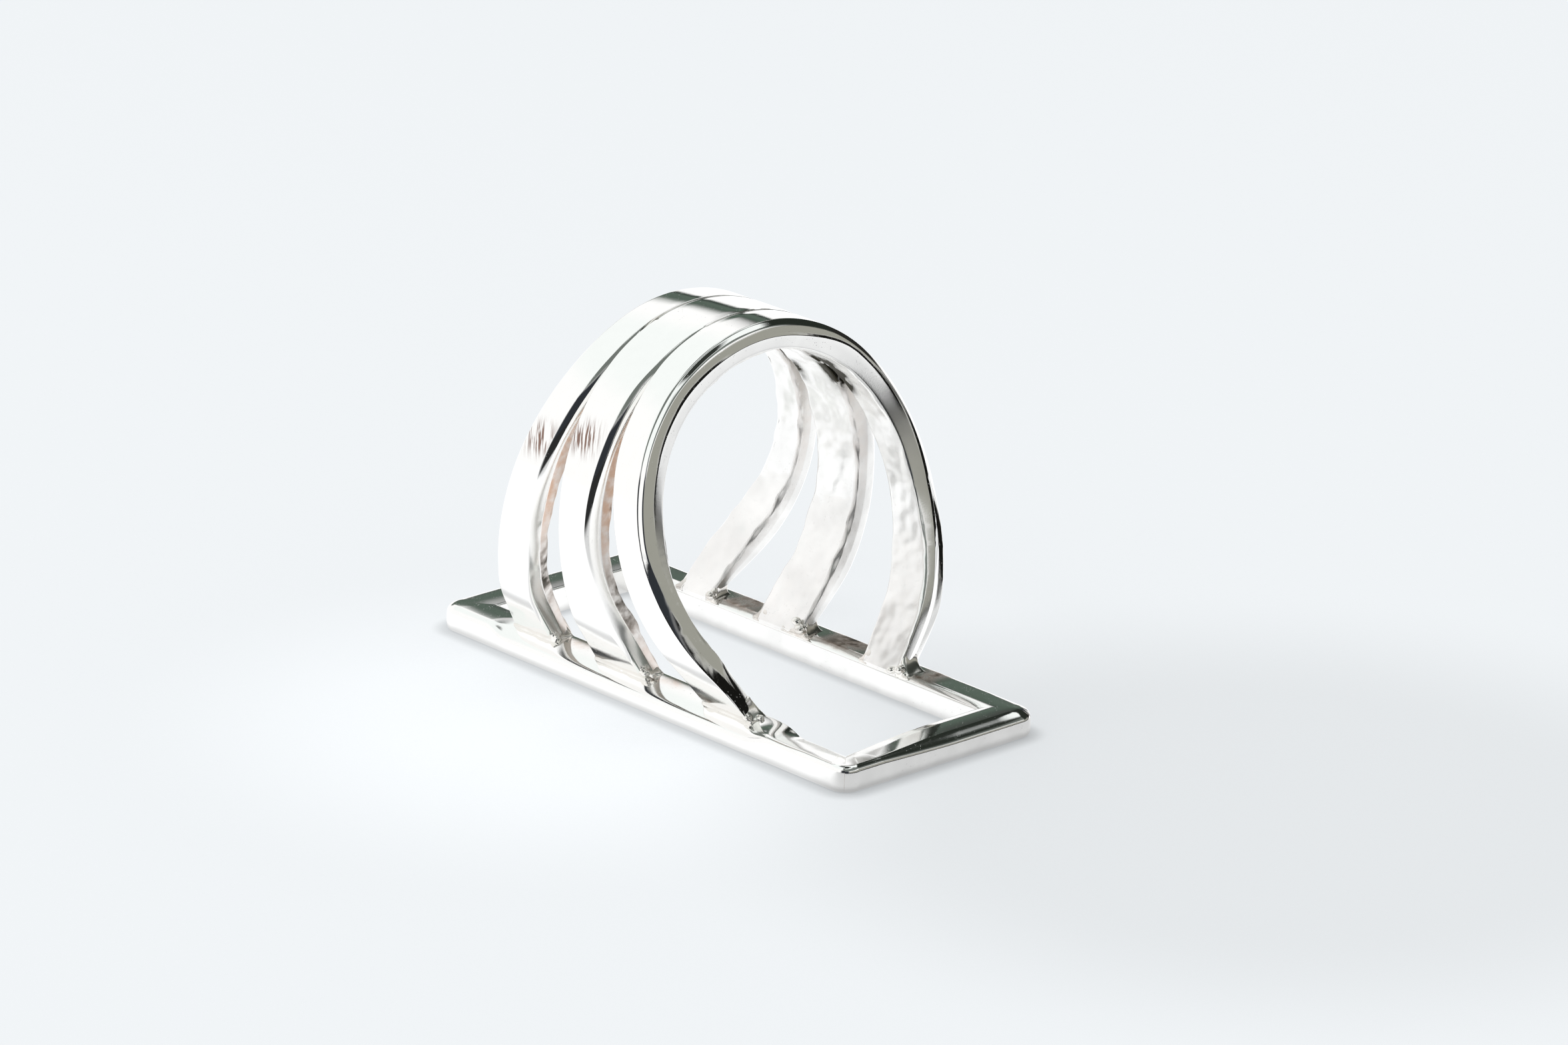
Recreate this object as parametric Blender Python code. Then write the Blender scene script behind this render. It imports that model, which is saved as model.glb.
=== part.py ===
"""Silver finger ring, standing on its rectangular face.

Three flat hoops lie side by side at the crown, where they are soldered into one band.
Below the crown they fan out along the finger, and their six feet stand on the two long
bars of a mitred rectangular frame, each in a fillet of silver solder.

Frame of the part: +Z up from the underside of the frame to the crown, +X along the
finger towards the front hoop, origin at the centre of the frame's underside.
All the dimensions below are in millimetres, and angles are in degrees from the crown.
"""

import math

import bmesh
import bpy
from mathutils import Vector

MM = 0.001

# Frame: four flat bars, mitred at the corners.
FRAME_LENGTH = 32.9
FRAME_WIDTH = 14.3
BAR_WIDTH = 2.35
BAR_HEIGHT = 1.5
BAR_TOP_ROUND = 0.5
BAR_BOTTOM_ROUND = 0.3
BAR_INNER_ROUND = 0.12
CORNER_RADIUS = 1.1
CORNER_STEPS = 5
CORNER_INNER_STEP = 0.05

# Hoops: a finger hole of ring size 7, a little taller than it is wide.
FINGER_RADIUS = 8.65
HOOP_RADIUS = 10.25
HOOP_STRETCH = 1.023
HOOP_CENTRE_Z = 10.48
FOOT_OUTER_Y = 6.15
FOOT_INNER_Y = 4.83
LEG_START = 118.0
FILED_SHARE = 0.18
FILED_FROM = (78.0, 106.0)
FILED_UNTIL = (130.0, 147.0)
OUTER_ROUND = 0.28
INNER_ROUND = 0.4
JOINED_ROUND = 0.03
JOINED_TO = 24.0
SPLIT_BY = 44.0
ROUND_STEPS = 3
HOOP_STEPS = 48

# Where each edge of a hoop runs along X, at these angles from the crown to the foot.
STATIONS = (0.0, 30.0, 45.0, 65.0, 90.0, 110.0, 128.0, 147.5)
HOOPS = {
    "front_hoop": {
        "near_front": (2.20, 2.30, 2.45, 3.00, 4.20, 5.65, 7.00, 7.70),
        "near_back": (-0.14, -0.14, 0.15, 0.60, 1.75, 2.80, 3.60, 4.25),
        "far_front": (2.20, 2.45, 2.75, 3.50, 4.90, 6.40, 7.55, 7.85),
        "far_back": (-0.14, -0.05, 0.65, 1.30, 2.65, 3.75, 4.75, 5.05),
    },
    "middle_hoop": {
        "near_front": (-0.28, -0.28, -0.55, -0.65, -0.85, -0.80, -0.65, -0.75),
        "near_back": (-3.32, -3.32, -3.25, -3.10, -2.95, -3.15, -3.85, -4.45),
        "far_front": (-0.28, -0.19, 0.00, 0.05, 0.00, 0.10, 0.15, -0.30),
        "far_back": (-3.32, -3.32, -3.30, -3.30, -3.20, -3.05, -3.05, -3.80),
    },
    "rear_hoop": {
        "near_front": (-3.46, -3.46, -3.72, -4.40, -5.45, -6.40, -7.50, -8.20),
        "near_back": (-5.45, -5.40, -5.65, -6.35, -7.45, -8.60, -10.00, -11.20),
        "far_front": (-3.46, -3.46, -3.75, -4.20, -4.75, -5.45, -6.40, -7.80),
        "far_back": (-5.45, -5.45, -5.55, -5.85, -6.70, -7.75, -9.00, -10.20),
    },
}
# The inner edges of the two rear hoops lean forward of their outer edges.
INNER_LEAN = {"front_hoop": 0.0, "middle_hoop": 0.45, "rear_hoop": 0.45}
LEAN_FROM = (30.0, 70.0)
SIDES = {"near": -1, "far": 1}

# Solder: ribbons along the two crown seams, fillets at the six feet, and the mitres.
CLEARANCE = 0.02
SEAM_END = 37.0
SEAM_STEPS = 14
SEAM_DEEPEST = 0.55
SEAM_SHALLOWEST = 0.04
SEAM_INNER_INSET = 0.3
FILLET_TOP = 142.0
FILLET_STEPS = 4
FILLET_REACH = {"front": 0.75, "back": 0.4, "outer": 0.28, "inner": 0.05}
FILLET_LIP = 0.04
MITRE_SOLDER = 0.1

SILVER = (0.93, 0.93, 0.91)
SOLDER = (0.70, 0.67, 0.63)


def smooth_step(value, start, end):
    """0 before start, 1 after end, and a smooth rise between them."""
    t = min(1.0, max(0.0, (value - start) / (end - start)))
    return t * t * (3.0 - 2.0 * t)


def through_stations(values, angle):
    """A smooth curve through one edge's stations."""
    last = len(STATIONS) - 1
    k = max(i for i in range(last) if STATIONS[i] <= angle or i == 0)
    slopes = []
    for i in (k, k + 1):
        low, high = max(i - 1, 0), min(i + 1, last)
        slopes.append((values[high] - values[low]) / (STATIONS[high] - STATIONS[low]))
    if k == 0:
        slopes[0] = 0.0
    span = STATIONS[k + 1] - STATIONS[k]
    t = (angle - STATIONS[k]) / span
    rise = values[k + 1] - values[k]
    bend = (slopes[0] * span - rise) * (1.0 - t) - (slopes[1] * span - rise) * t
    return values[k] + rise * t + t * (1.0 - t) * bend


def hoop_edges(hoop, angle):
    """The front and back X of a hoop at a signed angle, near side negative."""
    side = "near" if angle < 0.0 else "far"
    edges = HOOPS[hoop]
    front = through_stations(edges[side + "_front"], abs(angle))
    back = through_stations(edges[side + "_back"], abs(angle))
    return front, back


def polar_point(radius, angle):
    """A point of the hoop's plane, as Y and Z, from its radius and angle."""
    turn = math.radians(angle)
    y = radius * math.sin(turn)
    z = HOOP_CENTRE_Z + HOOP_STRETCH * radius * math.cos(turn)
    return y, z


def leg_line(radius, foot_y):
    """The angle at which a straight leg leaves the circle, and the foot's angle."""
    drop = (BAR_HEIGHT + CLEARANCE - HOOP_CENTRE_Z) / HOOP_STRETCH
    foot_angle = math.degrees(math.atan2(foot_y, drop))
    leaves = foot_angle - math.degrees(math.acos(radius / math.hypot(foot_y, drop)))
    return leaves, foot_angle


def face_point(radius, foot_y, angle):
    """A point of the hoop's inner or outer face: round above, straight in the leg."""
    leaves, foot_angle = leg_line(radius, foot_y)
    size = abs(angle)
    into_leg = max(0.0, size - LEG_START) / (STATIONS[-1] - LEG_START)
    turned = size + (foot_angle - STATIONS[-1]) * into_leg * into_leg
    reach = radius / math.cos(math.radians(max(0.0, turned - leaves)))
    return polar_point(reach, math.copysign(turned, angle))


def corner_points(centre, radius, start, steps):
    """A quarter round in the section's own plane, anticlockwise from start."""
    points = []
    for i in range(steps + 1):
        turn = math.radians(start + 90.0 * i / steps)
        points.append((centre[0] + radius * math.cos(turn), centre[1] + radius * math.sin(turn)))
    return points


def rounded_section(front, back, low, high, outer_front, outer_back, inner):
    """A rounded rectangle, as X and height pairs, with its own radius at each corner."""
    outline = []
    outline += corner_points((front - outer_front, high - outer_front), outer_front, 0, ROUND_STEPS)
    outline += corner_points((back + outer_back, high - outer_back), outer_back, 90, ROUND_STEPS)
    outline += corner_points((back + inner, low + inner), inner, 180, ROUND_STEPS)
    outline += corner_points((front - inner, low + inner), inner, 270, ROUND_STEPS)
    return outline


def hoop_section(hoop, angle, grow=None):
    """One section of a hoop as points in space, or one grown outwards for a fillet."""
    grow = grow or {"front": 0.0, "back": 0.0, "outer": 0.0, "inner": 0.0}
    front, back = hoop_edges(hoop, angle)
    inner_y, inner_z = face_point(FINGER_RADIUS, FOOT_INNER_Y, angle)
    outer_y, outer_z = face_point(HOOP_RADIUS, FOOT_OUTER_Y, angle)
    if hoop == "front_hoop" and angle < 0.0:
        filed = FILED_SHARE * smooth_step(-angle, *FILED_FROM)
        filed *= 1.0 - smooth_step(-angle, *FILED_UNTIL)
        inner_y += (outer_y - inner_y) * filed
        inner_z += (outer_z - inner_z) * filed
    thickness = math.hypot(outer_y - inner_y, outer_z - inner_z)
    joined = 1.0 - smooth_step(abs(angle), JOINED_TO, SPLIT_BY)
    free_round = OUTER_ROUND + (JOINED_ROUND - OUTER_ROUND) * joined
    outer_front = OUTER_ROUND if hoop == "front_hoop" else free_round
    outer_back = OUTER_ROUND if hoop == "rear_hoop" else free_round
    inner = INNER_ROUND * (1.0 - 0.5 * joined)
    outline = rounded_section(
        front + grow["front"], back - grow["back"], -grow["inner"],
        thickness + grow["outer"], outer_front, outer_back, inner)
    lean = INNER_LEAN[hoop] * smooth_step(abs(angle), *LEAN_FROM)
    points = []
    for x, height in outline:
        share = height / thickness
        y = inner_y + (outer_y - inner_y) * share
        z = inner_z + (outer_z - inner_z) * share
        points.append((x + lean * (1.0 - share), y, z))
    return points


def new_material(name, colour, roughness, metallic):
    """A plain metal."""
    material = bpy.data.materials.new(name)
    material.use_nodes = True
    shader = material.node_tree.nodes["Principled BSDF"]
    shader.inputs["Base Color"].default_value = (*colour, 1.0)
    shader.inputs["Roughness"].default_value = roughness
    shader.inputs["Metallic"].default_value = metallic
    material.diffuse_color = (*colour, 1.0)
    return material


def add_piece(name, mesh_data, material, smooth_angle=35.0):
    """Turns a bmesh in millimetres into a named object in metres."""
    bmesh.ops.scale(mesh_data, vec=(MM, MM, MM), verts=mesh_data.verts)
    bmesh.ops.recalc_face_normals(mesh_data, faces=mesh_data.faces)
    mesh = bpy.data.meshes.new(name)
    mesh_data.to_mesh(mesh)
    mesh_data.free()
    mesh.materials.append(material)
    mesh.shade_smooth()
    mesh.set_sharp_from_angle(angle=math.radians(smooth_angle))
    piece = bpy.data.objects.new(name, mesh)
    bpy.context.scene.collection.objects.link(piece)
    return piece


def bridge(mesh_data, ring_a, ring_b):
    """Quads between two rings of the same number of vertices."""
    count = len(ring_a)
    for i in range(count):
        j = (i + 1) % count
        mesh_data.faces.new((ring_a[i], ring_a[j], ring_b[j], ring_b[i]))


def add_rings(mesh_data, sections):
    """Vertices for a list of sections, bridged one to the next."""
    rings = [[mesh_data.verts.new(point) for point in section] for section in sections]
    for ring_a, ring_b in zip(rings, rings[1:]):
        bridge(mesh_data, ring_a, ring_b)
    return rings


def loft(sections):
    """A solid through a list of sections, closed at both ends."""
    mesh_data = bmesh.new()
    rings = add_rings(mesh_data, sections)
    mesh_data.faces.new(rings[0])
    mesh_data.faces.new(rings[-1])
    return mesh_data


def collar(inner_sections, outer_sections):
    """A solid between an inner and an outer sleeve, open through the middle."""
    mesh_data = bmesh.new()
    inner_rings = add_rings(mesh_data, inner_sections)
    outer_rings = add_rings(mesh_data, outer_sections)
    bridge(mesh_data, inner_rings[0], outer_rings[0])
    bridge(mesh_data, inner_rings[-1], outer_rings[-1])
    return mesh_data


def evenly(start, end, steps):
    """Steps + 1 values from start to end."""
    return [start + (end - start) * i / steps for i in range(steps + 1)]


def make_hoop(name, material):
    foot = STATIONS[-1]
    sections = [hoop_section(name, angle) for angle in evenly(-foot, foot, HOOP_STEPS)]
    return add_piece(name, loft(sections), material)


def seam_section(front_hoop, back_hoop, angle):
    """The ribbon of solder between two hoops, deeper where they part."""
    front = hoop_edges(front_hoop, angle)[1] - CLEARANCE
    back = hoop_edges(back_hoop, angle)[0] + CLEARANCE
    depth = smooth_step(abs(angle), JOINED_TO * 0.5, SEAM_END)
    high = HOOP_RADIUS - SEAM_SHALLOWEST - (SEAM_DEEPEST - SEAM_SHALLOWEST) * depth
    low = FINGER_RADIUS + SEAM_INNER_INSET
    corners = ((front, high), (back, high), (back, low), (front, low))
    return [(x, *polar_point(radius, angle)) for x, radius in corners]


def make_seam(name, front_hoop, back_hoop, material):
    angles = evenly(-SEAM_END, SEAM_END, SEAM_STEPS)
    sections = [seam_section(front_hoop, back_hoop, angle) for angle in angles]
    return add_piece(name, loft(sections), material)


def make_foot_fillet(name, hoop, sign, material):
    """A concave collar of solder round the foot of one hoop."""
    sleeve = {key: CLEARANCE for key in FILLET_REACH}
    inner_sections = []
    outer_sections = []
    for i, angle in enumerate(evenly(STATIONS[-1], FILLET_TOP, FILLET_STEPS)):
        flare = (1.0 - i / FILLET_STEPS) ** 2
        reach = {key: CLEARANCE + FILLET_LIP + (FILLET_REACH[key] - FILLET_LIP) * flare
                 for key in FILLET_REACH}
        inner_sections.append(hoop_section(hoop, sign * angle, sleeve))
        outer_sections.append(hoop_section(hoop, sign * angle, reach))
    return add_piece(name, collar(inner_sections, outer_sections), material)


def bar_profile(station):
    """The bar's section on the vertical plane through two points of the plan.

    The roundings are stretched where that plane crosses an edge at a slant.
    """
    inner_point, outer_point, inner_stretch, outer_stretch = station
    width = (outer_point - inner_point).length
    direction = (outer_point - inner_point) / width
    low = corner_points((-BAR_BOTTOM_ROUND, BAR_BOTTOM_ROUND), BAR_BOTTOM_ROUND, 270, ROUND_STEPS)
    high = corner_points(
        (-BAR_TOP_ROUND, BAR_HEIGHT - BAR_TOP_ROUND), BAR_TOP_ROUND, 0, ROUND_STEPS)
    outline = [(width + beyond * outer_stretch, z) for beyond, z in low + high]
    outline.append((BAR_INNER_ROUND * inner_stretch, BAR_HEIGHT))
    outline.append((0.0, BAR_HEIGHT - BAR_INNER_ROUND))
    outline.append((0.0, 0.0))
    points = []
    for across, z in outline:
        spot = inner_point + direction * across
        points.append((spot.x, spot.y, z))
    return points


def bar_end_stations(half_length):
    """Plan lines across one end of a bar, from the start of its corner to its mitre."""
    half_window = half_length - BAR_WIDTH
    stations = []
    for i in range(CORNER_STEPS + 1):
        turn = math.radians(45.0 * i / CORNER_STEPS)
        normal = Vector((math.sin(turn), math.cos(turn)))
        centre = Vector((half_length - CORNER_RADIUS, BAR_WIDTH - CORNER_RADIUS))
        outer = centre + normal * CORNER_RADIUS
        inner = Vector((half_window - CORNER_INNER_STEP * (CORNER_STEPS - i), 0.0))
        direction = (outer - inner).normalized()
        stations.append((inner, outer, 1.0 / direction.y, 1.0 / direction.dot(normal)))
    return stations


def make_bar(name, length, centre, turn, material):
    """A flat bar with rounded outer edges, mitred at both ends."""
    gap = (MITRE_SOLDER * 0.5 + CLEARANCE) * math.sqrt(2.0)
    right_end = []
    left_end = []
    for inner, outer, inner_stretch, outer_stretch in bar_end_stations(length * 0.5):
        inner = Vector((inner.x - gap, inner.y))
        outer = Vector((outer.x - gap, outer.y))
        right_end.append(bar_profile((inner, outer, inner_stretch, outer_stretch)))
        inner = Vector((-inner.x, inner.y))
        outer = Vector((-outer.x, outer.y))
        left_end.append(bar_profile((inner, outer, inner_stretch, outer_stretch)))
    piece = add_piece(name, loft(left_end[::-1] + right_end), material)
    piece.rotation_euler = (0.0, 0.0, math.radians(turn))
    piece.location = (centre[0] * MM, centre[1] * MM, 0.0)
    return piece


def make_mitre_solder(name, sign_x, sign_y, material):
    """The thin plate of solder in one mitre, standing on the corner's diagonal."""
    inner, outer, inner_stretch, outer_stretch = bar_end_stations(FRAME_LENGTH * 0.5)[-1]
    window_y = FRAME_WIDTH * 0.5 - BAR_WIDTH
    across = Vector((-sign_x, sign_y)).normalized() * (MITRE_SOLDER * 0.5)
    sections = []
    for shift in (-1, 1):
        low = Vector((sign_x * inner.x, sign_y * (inner.y + window_y))) + across * shift
        high = Vector((sign_x * outer.x, sign_y * (outer.y + window_y))) + across * shift
        sections.append(bar_profile((low, high, inner_stretch, outer_stretch)))
    return add_piece(name, loft(sections), material)


def clear_scene():
    for thing in list(bpy.data.objects):
        bpy.data.objects.remove(thing, do_unlink=True)


def main():
    clear_scene()
    silver = new_material("polished_silver", SILVER, 0.08, 1.0)
    solder = new_material("silver_solder", SOLDER, 0.3, 1.0)

    for hoop in HOOPS:
        make_hoop(hoop, silver)

    make_seam("crown_solder_front", "front_hoop", "middle_hoop", solder)
    make_seam("crown_solder_rear", "middle_hoop", "rear_hoop", solder)

    for hoop in HOOPS:
        for side, sign in SIDES.items():
            place = hoop.replace("_hoop", "")
            make_foot_fillet(f"foot_solder_{place}_{side}", hoop, sign, solder)

    window_x = FRAME_LENGTH * 0.5 - BAR_WIDTH
    window_y = FRAME_WIDTH * 0.5 - BAR_WIDTH
    make_bar("frame_bar_near", FRAME_LENGTH, (0.0, -window_y), 180.0, silver)
    make_bar("frame_bar_far", FRAME_LENGTH, (0.0, window_y), 0.0, silver)
    make_bar("frame_bar_front", FRAME_WIDTH, (window_x, 0.0), -90.0, silver)
    make_bar("frame_bar_rear", FRAME_WIDTH, (-window_x, 0.0), 90.0, silver)

    for end, sign_x in (("front", 1), ("rear", -1)):
        for side, sign_y in SIDES.items():
            make_mitre_solder(f"mitre_solder_{end}_{side}", sign_x, sign_y, solder)


main()
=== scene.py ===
"""Looks of the silver finger ring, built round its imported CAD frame.

Every soldered piece of the ring gets its own finely modelled mesh: polished hoops with
filed side faces, bars with hand-polished tops, and blobs of solder in the joints.
Mesh code works in millimetres and in degrees from the crown, as the CAD source does,
and each piece is turned into metres when it is added.
"""

import math

import bmesh
import bpy
import numpy as np
from mathutils import Matrix, Vector, noise


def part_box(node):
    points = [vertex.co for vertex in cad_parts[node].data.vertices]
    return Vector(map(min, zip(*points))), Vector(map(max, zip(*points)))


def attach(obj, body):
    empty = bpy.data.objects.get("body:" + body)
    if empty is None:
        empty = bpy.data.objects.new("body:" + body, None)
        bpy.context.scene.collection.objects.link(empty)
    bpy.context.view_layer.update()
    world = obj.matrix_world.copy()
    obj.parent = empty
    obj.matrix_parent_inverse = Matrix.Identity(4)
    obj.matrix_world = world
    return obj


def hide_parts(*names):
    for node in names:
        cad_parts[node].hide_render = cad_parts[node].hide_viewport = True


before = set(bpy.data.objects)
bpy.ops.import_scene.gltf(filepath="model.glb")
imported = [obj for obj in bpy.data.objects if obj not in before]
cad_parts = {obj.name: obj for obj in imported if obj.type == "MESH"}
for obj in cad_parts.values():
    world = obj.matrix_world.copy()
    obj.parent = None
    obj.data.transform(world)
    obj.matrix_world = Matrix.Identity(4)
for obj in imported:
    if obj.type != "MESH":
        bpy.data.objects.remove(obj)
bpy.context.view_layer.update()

MM = 0.001
BODY = "root"

# Hoops, as in the CAD source: outline, edges and feet.
FINGER_RADIUS = 8.65
HOOP_RADIUS = 10.25
HOOP_STRETCH = 1.023
HOOP_CENTRE_Z = 10.48
FOOT_OUTER_Y = 6.15
FOOT_INNER_Y = 4.83
LEG_START = 118.0
FILED_SHARE = 0.18
FILED_FROM = (78.0, 106.0)
FILED_UNTIL = (130.0, 147.0)
JOINED_TO = 24.0
STATIONS = (0.0, 30.0, 45.0, 65.0, 90.0, 110.0, 128.0, 147.5)
HOOPS = {
    "front_hoop": {
        "near_front": (2.20, 2.30, 2.45, 3.00, 4.20, 5.65, 7.00, 7.70),
        "near_back": (-0.14, -0.14, 0.15, 0.60, 1.75, 2.80, 3.60, 4.25),
        "far_front": (2.20, 2.45, 2.75, 3.50, 4.90, 6.40, 7.55, 7.85),
        "far_back": (-0.14, -0.05, 0.65, 1.30, 2.65, 3.75, 4.75, 5.05),
    },
    "middle_hoop": {
        "near_front": (-0.28, -0.28, -0.55, -0.65, -0.85, -0.80, -0.65, -0.75),
        "near_back": (-3.32, -3.32, -3.25, -3.10, -2.95, -3.15, -3.85, -4.45),
        "far_front": (-0.28, -0.19, 0.00, 0.05, 0.00, 0.10, 0.15, -0.30),
        "far_back": (-3.32, -3.32, -3.30, -3.30, -3.20, -3.05, -3.05, -3.80),
    },
    "rear_hoop": {
        "near_front": (-3.46, -3.46, -3.72, -4.40, -5.45, -6.40, -7.50, -8.20),
        "near_back": (-5.45, -5.40, -5.65, -6.35, -7.45, -8.60, -10.00, -11.20),
        "far_front": (-3.46, -3.46, -3.75, -4.20, -4.75, -5.45, -6.40, -7.80),
        "far_back": (-5.45, -5.45, -5.55, -5.85, -6.70, -7.75, -9.00, -10.20),
    },
}

# The middle and rear hoops' sections lean forwards towards the finger, and their inner
# edges are ragged, from these angles on.
INNER_LEAN = 0.45
LEAN_FROM = (30.0, 50.0)
HOOP_STEPS = 380
FOOT_SINK = 0.6

# A side face is walked from the outer face to the inner face in rows of
# (width, tilt at its start, tilt at its end). Tilt 0 faces outwards, 90 sideways and 180
# inwards. All side faces have the same number of steps in each row, so that they blend.
SIDE_STEPS = (8, 6, 8, 4, 6, 8)
PROUD_SIDE = (
    (0.09, 28, 48), (0.22, 27, 33), (0.52, 61, 77),
    (0.09, 77, 88), (0.46, 88, 94), (0.26, 94, 180))
# The same face on the near leg, at each of these angles from the crown.
PROUD_LOW_AT = (105.0, 120.0, 135.0, 147.0)
PROUD_SIDE_LOW = (
    ((0.05, 0, 48), (0.56, 54, 65), (0.46, 74, 92),
     (0.05, 92, 97), (0.14, 97, 101), (0.24, 101, 180)),
    ((0.05, 0, 64), (0.64, 71, 80), (0.42, 88, 104),
     (0.05, 104, 108), (0.12, 108, 112), (0.24, 112, 180)),
    ((0.05, 0, 84), (0.62, 94, 101), (0.42, 111, 122),
     (0.05, 122, 125), (0.12, 125, 128), (0.22, 128, 180)),
    ((0.05, 0, 90), (0.62, 101, 107), (0.42, 115, 124),
     (0.05, 124, 126), (0.12, 126, 129), (0.22, 129, 180)))
# The same face on the far leg: at 40 degrees, and from 125 degrees down.
PROUD_SIDE_FAR = (
    (0.06, 0, 38), (0.30, 40, 50), (0.18, 66, 80),
    (0.06, 80, 88), (0.66, 88, 93), (0.26, 93, 180))
PROUD_SIDE_FAR_LOW = (
    (0.08, 0, 86), (0.40, 88, 94), (0.34, 74, 78),
    (0.05, 78, 100), (0.36, 100, 106), (0.26, 106, 180))
GROOVE_SIDE = (
    (0.04, 0, 36), (0.26, 39, 56), (0.28, 60, 84),
    (0.08, 84, 98), (0.70, 98, 106), (0.24, 106, 180))
SLIT_SIDE = (
    (0.08, 0, 52), (0.22, 52, 78), (0.52, 78, 84),
    (0.10, 84, 100), (0.40, 100, 106), (0.26, 106, 180))
BACK_SIDE = (
    (0.10, 0, 45), (0.22, 45, 78), (0.60, 78, 90),
    (0.12, 90, 96), (0.30, 96, 104), (0.26, 104, 180))
JOINED_SIDE = (
    (0.003, 0, 36), (0.003, 39, 50), (0.70, 90, 90),
    (0.10, 90, 90), (0.50, 90, 90), (0.20, 90, 180))
FACE_STEPS = 24
OUTER_CROWNING = 0.018
CROWNED_FROM = (22.0, 60.0)
ARRIS_STEP = 4
ARRIS_INSET = 0.05
SEAM_HALF_GAP = 0.072
SEAM_OPENS = (12.0, 20.0)
SEAM_DENTS = ((-0.21, 0.018), (-3.39, 0.004))
SEAM_DENT_WIDTH = 0.55
CROWN_SAG = 0.075
CROWN_MIDDLE_X = -1.6
CROWN_HALF_WIDTH = 3.83
FRONT_SEAM_GROOVE = (8.0, 34.0)
REAR_SEAM_GROOVE = (17.0, 38.0)
GROOVE_UNTIL = (60.0, 92.0)
# Marks on the hoops: (angle and half width, x and half width, amount).
HOLLOW = (73.0, 17.0, 3.6, 0.9, 1.0)
BRUSHED = {"middle_hoop": (-62.5, 7.5, -2.2, 1.7, 1.5), "rear_hoop": (-67.5, 7.5, -5.4, 1.7, 1.5)}
# Painted shade, black, in the far side's crown slit openings, where one sees into the dark gap.
PAINTED_SLIT_SHADE = ((46.0, 15.0, 0.6, 1.4, 6.0), (54.0, 7.0, -2.9, 0.6, 1.8))

# How uneven the surfaces are.
WAVE_HEIGHT = 0.006
WAVE_LENGTH = 3.2
HOLLOW_DEPTH = 0.10
LUMP_HEIGHT = 0.09
LUMP_LENGTH = 1.5
RAGGED_EDGE = 0.22
RAGGED_EDGE_FRONT = 0.3 * RAGGED_EDGE
RAGGED_LENGTH = 1.3
SHARP_ANGLE = 30.0

# Bars. Their sections are rows too, from the outer side over the top to the inner side.
# Tilt 180 faces down, 90 outwards, 0 up and -90 inwards.
ROW_STEPS = (8, 6, 12, 5, 10, 6, 8, 8)
BAR_STEPS = 160
CORNER_RADIUS = 1.1
CORNER_STEPS = 32
CORNER_INNER_STEP = 0.012
FLAT_TOP = (
    (0.40, 180, 96), (0.72, 96, 84), (0.50, 84, 22), (0.16, 22, 3),
    (1.10, 3, -2), (0.52, -2, -4), (0.14, -4, -90), (1.25, -90, -90))
WORN_TOP = (
    (0.40, 180, 96), (0.66, 96, 84), (0.62, 84, 34), (0.50, 34, 24),
    (0.80, 24, 6), (0.25, 6, -2), (0.14, -2, -90), (1.35, -90, -90))
RIDGED_TOP = (
    (0.40, 180, 96), (0.72, 96, 84), (0.46, 84, 20), (0.14, 20, 2),
    (1.20, 2, 0), (0.46, -14, -22), (0.14, -22, -90), (1.25, -90, -90))
DOMED_TOP = (
    (0.40, 180, 96), (0.72, 96, 84), (0.20, 84, 52), (0.62, 50, 18),
    (1.05, 3, -2), (0.40, -8, -14), (0.14, -14, -90), (1.25, -90, -90))
LIGHT_TOP = (
    (0.40, 180, 96), (0.72, 96, 84), (0.20, 84, 52), (0.16, 50, 18),
    (0.90, -8, -13), (0.80, -13, -16), (0.14, -16, -90), (0.76, -90, -90))
# Where one kind of top gives way to the next: along Y on the front bar, along X on the
# near bar's two ends, and from the middle outwards on the far bar.
LIGHT_UNTIL = (-6.5, 1.5)
WORN_FROM = (-12.4, -10.8)
WORN_UNTIL = (8.2, 11.0)
RIDGED_UNTIL = (13.0, 15.5)
# Lumps that the file left on the near bar's front end.
FILED_LUMPS = 0.03
FILED_LUMPS_FROM = (7.0, 9.0)
FILED_LUMPS_LENGTH = 1.8
# Burnt solder on the bars' tops, between the feet: (x, half length, amount).
STAINED = {
    "near": ((-6.6, 1.6, 0.5), (1.0, 1.6, 0.5)),
    "far": ((-5.6, 2.4, 0.9), (2.6, 2.6, 1.0), (9.2, 1.3, 1.0)),
}
MITRE_GAP = 0.0006
MITRE_DEPTH = 0.001
MITRE_OVERLAP = 0.01
MITRE_WEAR = (0.3, 0.2, 0.3)

# Solder.
SEAM_END = 37.0
SEAM_STEPS = 60
SEAM_DEEPEST = 0.55
SEAM_TOP_DEPTH = 0.006
SEAM_OVERLAP = 0.22
SEAM_INNER_INSET = 0.25
SEAM_RIPPLE = 0.002
SOLDER_RIPPLE = 0.02
RIPPLE_LENGTH = 0.5
FILLET_TOP = 142.0
FILLET_STEPS = 10
FILLET_LIP = 0.05
FILLET_CURVE = 2.2
FILLET_LEAN = 0.3
FILLET_CORNER = 0.18
FILLET_CORNER_STEPS = 4
FILLET_REACH = {
    "near": {"front": 0.40, "back": 0.15, "outer": 0.01, "inner": -0.02},
    "far": {"front": 0.75, "back": 0.40, "outer": 0.22, "inner": -0.02},
}
SOLDER_VOXEL = 0.055
SOLDER_SMOOTHING = 5
BEAD_FLATNESS = 0.8
BEAD_ROWS = 10
BEAD_COLUMNS = 16
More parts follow.
